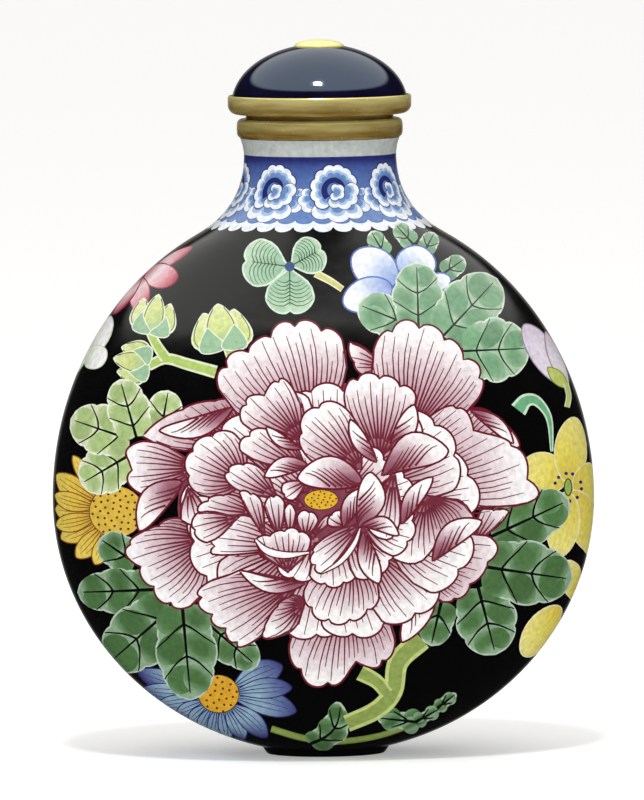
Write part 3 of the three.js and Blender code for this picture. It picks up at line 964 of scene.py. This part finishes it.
def cut_surface(columns):
    """The unrolled surface as triangles along each line that shows. Lines under other shapes are dropped."""
    left, right, top = columns[0], columns[-1], CLIMBS[-1]
    rungs = np.linspace(0, top, round(top / GRID) + 1)
    column = lambda turn: np.stack([np.full_like(rungs, turn * UNROLL_RADIUS), rungs], axis=-1)
    row = lambda climb: np.stack([columns * UNROLL_RADIUS, np.full_like(columns, climb)], axis=-1)
    runs = [column(turn) for turn in (left, right, -np.pi / 2, np.pi / 2)] + [row(0.0), row(top)]
    border, border_edges = joined(runs, False)
    drawn, drawn_edges = joined(canvas.outlines, True)
    points, triangles = triangulate(
        np.concatenate([border, drawn]), np.concatenate([border_edges, drawn_edges + len(border)]))
    lines = shown_lines(triangles, topmost_outlines(points, triangles))
    used, line_edges = np.unique(lines, return_inverse=True)
    across = np.arange(left * UNROLL_RADIUS + GRID, right * UNROLL_RADIUS - GRID, GRID)
    grid = [np.stack([across + GRID / 2 * (number % 2), np.full_like(across, climb)], axis=-1)
            for number, climb in enumerate(rungs[1:-1])]
    return triangulate(
        np.concatenate([border, points[used], *grid]),
        np.concatenate([border_edges, line_edges.reshape(-1, 2) + len(border)]))


def paint_triangles(points, triangles):
    """Colours for the corners of each triangle, from the topmost outline over its middle."""
    topmost = topmost_outlines(points, triangles)
    colours = np.empty((len(triangles), 3, 3))
    colours[topmost < 0] = GROUND
    for number in np.unique(topmost[topmost >= 0]):
        chosen = topmost == number
        corners = points[triangles[chosen]].reshape(-1, 2)
        colours[chosen] = canvas.paints[number](corners).reshape(-1, 3, 3)
    return colours


# Room on the baked map, as a start and a length: across it for the front, the back and the rest,
# and up it for the painted outside, and for the foot and the inside in the rest
MAP_FRONT = (0.004, 0.6)
MAP_BACK = (0.612, 0.33)
MAP_REST = (0.952, 0.044)
MAP_OUTSIDE = (0.004, 0.992)
MAP_FOOT = (0.01, 0.48)
MAP_INSIDE = (0.51, 0.48)


def map_corners(turns, climbs):
    """Places of painted corners on the baked map. A triangle's own corners never cross the sides."""
    middle = turns.mean(axis=1, keepdims=True)
    on_front = np.abs(middle) < np.pi / 2
    behind = np.where(middle > 0, turns, turns + 2 * np.pi)
    front_share = (turns + np.pi / 2) / np.pi
    back_share = (behind - np.pi / 2) / np.pi
    front_place = MAP_FRONT[0] + MAP_FRONT[1] * front_share
    back_place = MAP_BACK[0] + MAP_BACK[1] * back_share
    across = np.where(on_front, front_place, back_place)
    return np.stack([across, MAP_OUTSIDE[0] + MAP_OUTSIDE[1] * climbs / CLIMBS[-1]], axis=-1)


def strips(rows, columns):
    """Points, quads, map places and strip numbers of a wall, from its half widths, half depths and levels."""
    directions = list(zip(np.sin(columns), -np.cos(columns)))
    points = np.array([(width * x, depth * y, z) for width, depth, z in rows for x, y in directions])
    count = len(columns)
    quads, places, numbers = [], [], []
    for strip in range(len(rows) - 1):
        for side in range(count - 1):
            lower = strip * count + side
            quads.append((lower, lower + 1, lower + count + 1, lower + count))
            near, far = side / (count - 1), (side + 1) / (count - 1)
            low, high = strip / (len(rows) - 1), (strip + 1) / (len(rows) - 1)
            places.append([(near, low), (far, low), (far, high), (near, high)])
            numbers.append(strip)
    return points, quads, np.array(places), numbers


INSIDE_STEPS = 26
RECESS_EDGE = 1.4
LIP_ROUND, LIP_RISE = 0.1, 0.06
RIM_ROUND, RIM_RISE = 0.12, 0.1
TOP_ROUND, TOP_DROP = 0.04, 0.12
FOOT_WHITE_STRIPS = 4
MOUTH_GILT_STRIPS = 3
ENAMEL_WHITE = srgb(232, 230, 222)
COPPER_GILT = srgb(150, 108, 40)


def foot_rows():
    inset_row = lambda inset, z: (FOOT_HALF_WIDTH - inset, FOOT_HALF_DEPTH - inset, z)
    lip = FOOT_TAPER + FOOT_LAND
    return [
        (0.0, 0.0, FOOT_RECESS), inset_row(lip + RECESS_EDGE, FOOT_RECESS),
        inset_row(lip + FOOT_RECESS, FOOT_RECESS), inset_row(lip + LIP_ROUND, LIP_RISE), inset_row(lip, 0.0),
        inset_row(FOOT_TAPER + RIM_ROUND, 0.0), inset_row(FOOT_TAPER, RIM_RISE),
        inset_row(TOP_ROUND, FOOT_HEIGHT - TOP_DROP), inset_row(0.0, FOOT_HEIGHT)]


def inside_rows():
    """The sleeve under the mouth ring, the mouth, the bore and the chamber down to its floor."""
    floor = BELLY_LEVEL - INNER_LOW
    shares = (1 - np.cos(np.linspace(0, np.pi, INSIDE_STEPS + 1))) / 2
    levels = NECK_LEVEL + (floor - NECK_LEVEL) * shares[1:-1]
    walls = [(float(inner_width_at(z)), float(inner_depth_at(z)), z) for z in levels]
    ring = lambda radius, z: (radius, radius, z)
    return [
        ring(SEAT_RADIUS, SEAT_LEVEL), ring(SLEEVE_RADIUS, SEAT_LEVEL), ring(SLEEVE_RADIUS, MOUTH_LEVEL),
        ring(BORE, MOUTH_LEVEL), ring(BORE, NECK_LEVEL), *walls, (0.0, 0.0, floor)]


def bottle():
    """One closed shell: the painted outside, the foot below it, and the mouth and inside."""
    columns = np.linspace(SEAM_TURN - 2 * np.pi, SEAM_TURN, SIDES + 1)
    flat_points, triangles = cut_surface(columns)
    turns, climbs = flat_points[:, 0] / UNROLL_RADIUS, flat_points[:, 1]
    levels = level_of(climbs)
    points = [surface_point(turns, levels)]
    faces = [tuple(triangle) for triangle in triangles.tolist()]
    colours = [paint_triangles(flat_points, triangles).reshape(-1, 3)]
    places = [map_corners(turns[triangles], climbs[triangles]).reshape(-1, 2)]
    normals = [surface_normal(turns, levels)[triangles].reshape(-1, 3)]
    foot_paint = lambda strip: ENAMEL_WHITE if strip < FOOT_WHITE_STRIPS else GROUND
    inside_paint = lambda strip: COPPER_GILT if strip < MOUTH_GILT_STRIPS else ENAMEL_WHITE
    walls = ((foot_rows(), foot_paint, MAP_FOOT), (inside_rows(), inside_paint, MAP_INSIDE))
    for rows, paint, room in walls:
        first = sum(len(part) for part in points)
        wall_points, quads, shares, numbers = strips(rows, columns)
        points.append(wall_points)
        faces += [tuple(first + corner for corner in quad) for quad in quads]
        colours.append(np.repeat([paint(number) for number in numbers], 4, axis=0))
        normals.append(np.zeros((4 * len(quads), 3)))
        start, size = np.array([MAP_REST, room]).T
        places.append((start + shares * size).reshape(-1, 2))
    every = np.concatenate
    return welded_mesh("bottle_painted", every(points), faces, every(places), every(colours), every(normals))


def welded_mesh(name, points, faces, places, colours=None, normals=None):
    """A smooth mesh in metres, with points at one spot joined and a map place at each corner.

    Corners may have a paint colour, and a normal, where a zero one leaves the mesh's own.
    """
    spots = np.round(points, WELD_DIGITS)
    _, kept, joined_to = np.unique(spots, axis=0, return_index=True, return_inverse=True)
    joined_to = joined_to.reshape(-1)
    corner = 0
    clean_faces, corners = [], []
    for face in faces:
        numbers = [int(joined_to[point]) for point in face]
        chosen = [i for i, number in enumerate(numbers) if number not in numbers[:i]]
        if len(chosen) > 2:
            clean_faces.append([numbers[i] for i in chosen])
            corners += [corner + i for i in chosen]
        corner += len(face)
    mesh = bpy.data.meshes.new(name)
    mesh.from_pydata((points[kept] * MM).tolist(), [], clean_faces)
    mesh.uv_layers.new(name="OFBake").uv.foreach_set("vector", places[corners].astype(np.float32).ravel())
    mesh.polygons.foreach_set("use_smooth", np.ones(len(mesh.polygons), bool))
    mesh.set_sharp_from_angle(angle=SHARP_ANGLE)
    if colours is not None:
        rgba = np.concatenate([colours[corners], np.ones((len(corners), 1))], axis=1)
        layer = mesh.color_attributes.new("paint", "FLOAT_COLOR", "CORNER")
        layer.data.foreach_set("color", rgba.astype(np.float32).ravel())
    if normals is not None:
        mesh.normals_split_custom_set(normals[corners].tolist())
    return mesh


# Materials. Noise is given by its scale and detail, and a bump by its strength and its depth in metres.

# Where a mix node has its two colours and its mixed colour
MIX_FIRST, MIX_SECOND, MIX_OUT = 6, 7, 2


def new_material(name):
    material = bpy.data.materials.new(name)
    material.use_nodes = True
    nodes, links = material.node_tree.nodes, material.node_tree.links
    return material, nodes, links, nodes["Principled BSDF"]


def noise(nodes, links, scale, detail=3.0, stretch=(1, 1, 1)):
    """Noise in the object's own space, in steps of about one part in scale of a metre."""
    place = nodes.new("ShaderNodeTexCoord")
    mapping = nodes.new("ShaderNodeMapping")
    mapping.inputs["Scale"].default_value = stretch
    texture = nodes.new("ShaderNodeTexNoise")
    texture.inputs["Scale"].default_value = scale
    texture.inputs["Detail"].default_value = detail
    links.new(place.outputs["Object"], mapping.inputs["Vector"])
    links.new(mapping.outputs["Vector"], texture.inputs["Vector"])
    return texture.outputs["Fac"]


def between(nodes, links, value, low, high, span=(0.3, 0.7)):
    """A value from low to high as another goes over a span."""
    ramp = nodes.new("ShaderNodeMapRange")
    ramp.inputs["From Min"].default_value, ramp.inputs["From Max"].default_value = span
    ramp.inputs["To Min"].default_value, ramp.inputs["To Max"].default_value = low, high
    links.new(value, ramp.inputs["Value"])
    return ramp.outputs["Result"]


def bump(nodes, links, value, shader, strength, distance):
    node = nodes.new("ShaderNodeBump")
    node.inputs["Strength"].default_value = strength
    node.inputs["Distance"].default_value = distance
    links.new(value, node.inputs["Height"])
    links.new(node.outputs["Normal"], shader.inputs["Normal"])


def tint(nodes, links, shader, share, dark, light):
    """A base colour between two colours, by a share."""
    tone = nodes.new("ShaderNodeMix")
    tone.data_type = "RGBA"
    tone.inputs[MIX_FIRST].default_value = (*dark, 1)
    tone.inputs[MIX_SECOND].default_value = (*light, 1)
    links.new(share, tone.inputs["Factor"])
    links.new(tone.outputs[MIX_OUT], shader.inputs["Base Color"])


BRUSH_NOISE, BRUSH_TONES = (2200, 4.0), (0.8, 1.06)
GLAZE_NOISE, GLAZE_ROUGHNESS = (600, 3.0), (0.12, 0.2)
GLAZE_RIPPLE, GLAZE_BUMP = (420, 2.0), (0.08, 0.0002)
GLAZE_IOR = 1.6


def enamel_material():
    """Glossy enamel: the painted colours, slightly uneven as brushed, on a faintly rippled glaze."""
    material, nodes, links, shader = new_material("painted_enamel_look")
    paint = nodes.new("ShaderNodeAttribute")
    paint.attribute_name = "paint"
    tone = nodes.new("ShaderNodeMix")
    tone.data_type = "RGBA"
    tone.blend_type = "MULTIPLY"
    tone.inputs["Factor"].default_value = 1.0
    brushed = between(nodes, links, noise(nodes, links, *BRUSH_NOISE), *BRUSH_TONES)
    links.new(paint.outputs["Color"], tone.inputs[MIX_FIRST])
    links.new(brushed, tone.inputs[MIX_SECOND])
    links.new(tone.outputs[MIX_OUT], shader.inputs["Base Color"])
    polish = between(nodes, links, noise(nodes, links, *GLAZE_NOISE), *GLAZE_ROUGHNESS)
    links.new(polish, shader.inputs["Roughness"])
    shader.inputs["IOR"].default_value = GLAZE_IOR
    bump(nodes, links, noise(nodes, links, *GLAZE_RIPPLE), shader, *GLAZE_BUMP)
    return material


STREAK_SHARE = 0.3
STREAK_NOISE = (420, 5.0, (0.7, 0.7, 5))
WEAR_NOISE = (1400, 4.0)
TURNING_NOISE, TURNING_BUMP = (700, 3.0, (0.5, 0.5, 6)), (0.15, 0.0001)


def gilt_material(name, dark, light, metallic, roughness, node, painted_shade_share=0.0):
    """Gilding: painted highlight towards its upper edge, painted shade below, streaks round the turning."""
    low, high = [corner.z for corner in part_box(node)]
    material, nodes, links, shader = new_material(name)
    place = nodes.new("ShaderNodeTexCoord")
    axes = nodes.new("ShaderNodeSeparateXYZ")
    links.new(place.outputs["Object"], axes.inputs[0])
    # The ramp by height is painted light: painted shade low on the piece, painted highlight at its top
    span = (low + (high - low) * painted_shade_share, high)
    painted_light_by_height = between(nodes, links, axes.outputs["Z"], 0, 1 - STREAK_SHARE, span)
    streaks = between(nodes, links, noise(nodes, links, *STREAK_NOISE), 0, STREAK_SHARE)
    both = nodes.new("ShaderNodeMath")
    links.new(painted_light_by_height, both.inputs[0])
    links.new(streaks, both.inputs[1])
    tint(nodes, links, shader, both.outputs[0], dark, light)
    shader.inputs["Metallic"].default_value = metallic
    worn = between(nodes, links, noise(nodes, links, *WEAR_NOISE), *roughness)
    links.new(worn, shader.inputs["Roughness"])
    bump(nodes, links, noise(nodes, links, *TURNING_NOISE), shader, *TURNING_BUMP)
    return material


GLASS_DARK, GLASS_LIGHT = srgb(8, 4, 26), srgb(16, 12, 44)
GLASS_STREAKS = (500, 5.0)
GLASS_NOISE, GLASS_ROUGHNESS = (2600, 3.0), (0.05, 0.1)
GLASS_IOR = 2.2
GLASS_SHINE = (0.59, 0.77, 1, 1)


def glass_material():
    """Deep blue glass, polished, with faint streaks in its colour."""
    material, nodes, links, shader = new_material("blue_glass_look")
    streaks = between(nodes, links, noise(nodes, links, *GLASS_STREAKS), 0, 1)
    tint(nodes, links, shader, streaks, GLASS_DARK, GLASS_LIGHT)
    polish = between(nodes, links, noise(nodes, links, *GLASS_NOISE), *GLASS_ROUGHNESS)
    links.new(polish, shader.inputs["Roughness"])
    shader.inputs["IOR"].default_value = GLASS_IOR
    shader.inputs["Specular Tint"].default_value = GLASS_SHINE
    return material


# Pieces

def add_piece(mesh, material, node):
    piece = bpy.data.objects.new(mesh.name, mesh)
    bpy.context.scene.collection.objects.link(piece)
    mesh.materials.append(material)
    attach(piece, "root")
    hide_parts(node)


def arc(radius, z, across, along, start, end, steps=10):
    """Rows along an arc of an ellipse about a point of the profile, between two angles in degrees."""
    angles = np.radians(np.linspace(start, end, steps + 1))
    return [(radius + across * math.cos(angle), z + along * math.sin(angle)) for angle in angles]


def turned_mesh(name, profile):
    """A closed turned piece from its profile of radii and levels."""
    columns = np.linspace(-np.pi, np.pi, SIDES + 1)
    points, quads, places, _ = strips([(radius, radius, z) for radius, z in profile], columns)
    return welded_mesh(name, points, quads, places.reshape(-1, 2))


RING_EDGE = 0.45
RING_GAP = 0.05
RING_SWELL = 0.03


def ring_profile():
    low, high = [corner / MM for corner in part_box("mouth_ring")]
    bore, side = SLEEVE_RADIUS + RING_GAP, high.x - RING_SWELL
    edge = high.x - RING_EDGE - RING_SWELL
    lower, upper = low.z + RING_EDGE, high.z - RING_EDGE
    return [
        (bore, low.z), *arc(edge, lower, RING_EDGE, RING_EDGE, -90, 0)[:-1],
        (side, lower), (high.x, (low.z + high.z) / 2), (side, upper),
        *arc(edge, upper, RING_EDGE, RING_EDGE, 0, 90)[1:], (bore, high.z), (bore, low.z)]


PLUG_RADIUS = 4.7
PLUG_CHAMFER = 0.5
STEP_RADIUS = 6.4
STEP_HEIGHT = 0.36
BEZEL_DEPTH = 0.3
BEZEL_WIDTH = 0.2
BEZEL_ROUND, BEZEL_DROP = 0.04, 0.06


def collar_profile():
    low, high = [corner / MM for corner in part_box("stopper_collar")]
    underside = MOUTH_LEVEL + STEP_HEIGHT
    half = (high.z - underside) / 2
    seat, bezel = high.z - BEZEL_DEPTH, high.x - BEZEL_WIDTH
    return [
        (0.0, low.z), (PLUG_RADIUS - PLUG_CHAMFER, low.z), (PLUG_RADIUS, low.z + PLUG_CHAMFER),
        (PLUG_RADIUS, MOUTH_LEVEL), (STEP_RADIUS, MOUTH_LEVEL), (STEP_RADIUS, underside),
        *arc(high.x - half, underside + half, half, half, -90, 0, 12),
        (high.x, high.z - BEZEL_WIDTH), (high.x - BEZEL_ROUND, high.z - BEZEL_DROP),
        (high.x - BEZEL_WIDTH / 2, high.z), (bezel, high.z), (bezel, seat), (0.0, seat)]


DOME_SINK = 0.5
FINIAL_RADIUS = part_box("stopper_finial")[1].x / MM


def dome_profile():
    low, high = [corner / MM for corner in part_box("stopper_dome")]
    rise = high.z - low.z + DOME_SINK
    common = (high.x * rise) ** 2 - (FINIAL_RADIUS * DOME_SINK) ** 2
    across = math.sqrt(common / (rise ** 2 - DOME_SINK ** 2))
    along = math.sqrt(common / (high.x ** 2 - FINIAL_RADIUS ** 2))
    start, end = math.degrees(math.asin(DOME_SINK / along)), math.degrees(math.asin(rise / along))
    return [(0.0, low.z), *arc(0, low.z - DOME_SINK, across, along, start, end, 40), (0.0, high.z)]


def finial_profile():
    low, high = [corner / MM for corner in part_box("stopper_finial")]
    curve = arc(0, low.z, high.x, high.z - low.z, 0, 90, 14)
    return [(0.0, low.z), *curve[:-1], (0.0, high.z)]


# The back, plainer than the front: one peony with leaves, a bud and a blue flower

# Rings of petals: how many, the first direction and the step in degrees, their length, spread and lobes
BACK_RINGS = ((9, 10, 40, 8.6, 27, 4), (7, 30, 51, 5.4, 30, 3), (5, 0, 72, 2.9, 34, 2))


def back_peony(place):
    for count, first, step, length, spread, lobes in BACK_RINGS:
        for number in range(count):
            tip = around(step * number + first, length)
            petal((0, 0), spread_rim((0, 0), tip, spread), lobes, place=place)
    canvas.shape(place, circle((0, 0), 0.9, 16), flat(STAMEN_GOLD), CRIMSON, 0.08)
    dotted_disc(place, np.zeros(2), 0.8, 1.0, 0.42, 0.085, STAMEN_DOT)


def back_spray():
    spray = patch(math.radians(180), 25)
    stem([(-1, -8), (2, -12), (7, -15)], 1.5, STEM_GREEN, STEM_EDGE, spray)
    stem([(3, 7), (6, 12), (10, 14)], 0.9, STEM_GREEN, STEM_EDGE, spray)
    for base, tip in (((-6, -5), (-14, -7)), ((-5, -6), (-11, -13)), ((6, -4), (14, -6)), ((5, 5), (13, 6))):
        leaf(base, tip, 5.4, 3, DARK_LEAF, place=spray)
    for base, tip in (((-5, 5), (-12, 9)), ((-2, 7), (-5, 14))):
        leaf(base, tip, 4.8, 3, MID_LEAF, place=spray)
    bud((10, 13.5), (11, 17.5), 4.4, spray)
    flower = np.array((8, -15))
    for angle in range(18, 360, 72):
        tip = flower + around(angle, 3.4)
        round_petal(flower, tip, 3.2, BLUE_PETAL_STOPS, BLUE_PETAL_EDGE, 0.14, spray)
    canvas.shape(spray, circle(flower, 0.8, 14), flat(GOLD_DISC), BROWN_DOT, 0.06)
    back_peony(spray)


neck_bands()
back_spray()
left_sprays()
lower_left_sprays()
right_sprays()
clover()
foot_sprays()
peony()

# Gilt tones: the painted-shade colour low on a piece, the painted-highlight colour at its top, metallic,
# roughness
GILT_SHADE_TO_HIGHLIGHT = (srgb(136, 98, 18), srgb(255, 242, 160), 0.5, (0.12, 0.28))
BRIGHT_GILT_SHADE_TO_HIGHLIGHT = (srgb(252, 240, 140), srgb(255, 252, 184), 0.1, (0.25, 0.4))
# Share of each piece's height that stays in painted shade before the painted highlight starts
RING_SHARE = 0.3
COLLAR_SHARE = 0.74
ring_gilt = gilt_material("ring_gilt_look", *GILT_SHADE_TO_HIGHLIGHT, "mouth_ring", RING_SHARE)
collar_gilt = gilt_material("collar_gilt_look", *GILT_SHADE_TO_HIGHLIGHT, "stopper_collar", COLLAR_SHARE)
bright_gilt = gilt_material("bright_gilt_look", *BRIGHT_GILT_SHADE_TO_HIGHLIGHT, "stopper_finial")
add_piece(bottle(), enamel_material(), "bottle")
add_piece(turned_mesh("mouth_ring_gilt", ring_profile()), ring_gilt, "mouth_ring")
add_piece(turned_mesh("collar_gilt", collar_profile()), collar_gilt, "stopper_collar")
add_piece(turned_mesh("dome_glass", dome_profile()), glass_material(), "stopper_dome")
add_piece(turned_mesh("finial_gilt", finial_profile()), bright_gilt, "stopper_finial")


# Floor, light and camera

FLOOR_HALF = 6.0
FLOOR_DROP = 0.00002
FLOOR_SHADE = 0.9
FLOOR_ROUGHNESS = 0.8
FLOOR_GLOW = 0.34
SKY_AXIS = (0.0, 0.145, 0.99)
SKY_EDGE = (0.53, 0.59)
SKY_LOW, SKY_HIGH = 0.015, 1.0
BACK_EDGE = (0.9, 0.99)
BACK_LIGHT = 0.35
BACKDROP = 1.0
SKY_COLOUR = (1.0, 0.99, 0.96, 1)
CAMERA_REACH = 20


def floor():
    corners = [(-1, -1), (1, -1), (1, 1), (-1, 1)]
    mesh = bpy.data.meshes.new("floor")
    mesh.from_pydata([(x * FLOOR_HALF, y * FLOOR_HALF, -FLOOR_DROP) for x, y in corners], [], [(0, 1, 2, 3)])
    material, nodes, links, shader = new_material("floor_pale")
    shader.inputs["Base Color"].default_value = (FLOOR_SHADE, FLOOR_SHADE, FLOOR_SHADE, 1)
    shader.inputs["Roughness"].default_value = FLOOR_ROUGHNESS
    shader.inputs["Emission Color"].default_value = (1, 1, 1, 1)
    shader.inputs["Emission Strength"].default_value = FLOOR_GLOW
    mesh.materials.append(material)
    plane = bpy.data.objects.new("floor", mesh)
    bpy.context.scene.collection.objects.link(plane)
    plane.visible_glossy = False


def studio_world():
    """A wide light overhead, a dark front, a pale back, and a plain pale backdrop for the camera."""
    world = bpy.data.worlds.new("studio")
    bpy.context.scene.world = world
    world.use_nodes = True
    nodes, links = world.node_tree.nodes, world.node_tree.links
    background = nodes["Background"]
    background.inputs["Color"].default_value = SKY_COLOUR
    place = nodes.new("ShaderNodeTexCoord")
    axes = nodes.new("ShaderNodeSeparateXYZ")
    links.new(place.outputs["Generated"], axes.inputs[0])
    height = nodes.new("ShaderNodeVectorMath")
    height.operation = "DOT_PRODUCT"
    height.inputs[1].default_value = SKY_AXIS
    links.new(place.outputs["Generated"], height.inputs[0])
    sky = between(nodes, links, height.outputs["Value"], SKY_LOW, SKY_HIGH, SKY_EDGE)
    back = between(nodes, links, axes.outputs["Y"], 0.0, BACK_LIGHT, BACK_EDGE)
    brighter = nodes.new("ShaderNodeMath")
    brighter.operation = "MAXIMUM"
    links.new(sky, brighter.inputs[0])
    links.new(back, brighter.inputs[1])
    seen = nodes.new("ShaderNodeLightPath")
    choice = nodes.new("ShaderNodeMix")
    choice.inputs[3].default_value = BACKDROP
    links.new(seen.outputs["Is Camera Ray"], choice.inputs["Factor"])
    links.new(brighter.outputs[0], choice.inputs[2])
    links.new(choice.outputs[0], background.inputs["Strength"])


def area_light(name, azimuth, elevation, distance, size, power, in_reflections=True):
    """A square lamp that faces the bottle's middle, by its direction in degrees. Azimuth 0 is the front."""
    light = bpy.data.lights.new(name, "AREA")
    light.size = size
    light.energy = power
    lamp = bpy.data.objects.new(name, light)
    bpy.context.scene.collection.objects.link(lamp)
    turn, climb = math.radians(azimuth), math.radians(elevation)
    back = Vector((math.sin(turn) * math.cos(climb), -math.cos(turn) * math.cos(climb), math.sin(climb)))
    lamp.location = Vector((0, 0, FRAME_CENTRE_Z * MM)) + back * distance
    lamp.rotation_mode = "QUATERNION"
    lamp.rotation_quaternion = back.to_track_quat("Z", "Y")
    lamp.visible_glossy = in_reflections


def camera():
    data = bpy.data.cameras.new("camera")
    data.sensor_width = SENSOR
    data.lens = SENSOR * VIEW_DISTANCE / FRAME_HEIGHT
    eye = bpy.data.objects.new("camera", data)
    bpy.context.scene.collection.objects.link(eye)
    back = Vector((0, -math.cos(VIEW_TILT), math.sin(VIEW_TILT)))
    eye.location = (Vector((FRAME_CENTRE_X, 0, FRAME_CENTRE_Z)) + back * VIEW_DISTANCE) * MM
    turn = back.to_track_quat("Z", "Y").to_matrix() @ Matrix.Rotation(-VIEW_ROLL, 3, "Z")
    eye.rotation_mode = "QUATERNION"
    eye.rotation_quaternion = turn.to_quaternion()
    data.clip_end = CAMERA_REACH
    bpy.context.scene.camera = eye


floor()
studio_world()
area_light("key", azimuth=-4, elevation=62, distance=0.6, size=0.07, power=1.6)
area_light("front_fill", azimuth=0, elevation=18, distance=0.8, size=0.5, power=1.4, in_reflections=False)
camera()
bpy.context.scene.view_settings.view_transform = "Standard"
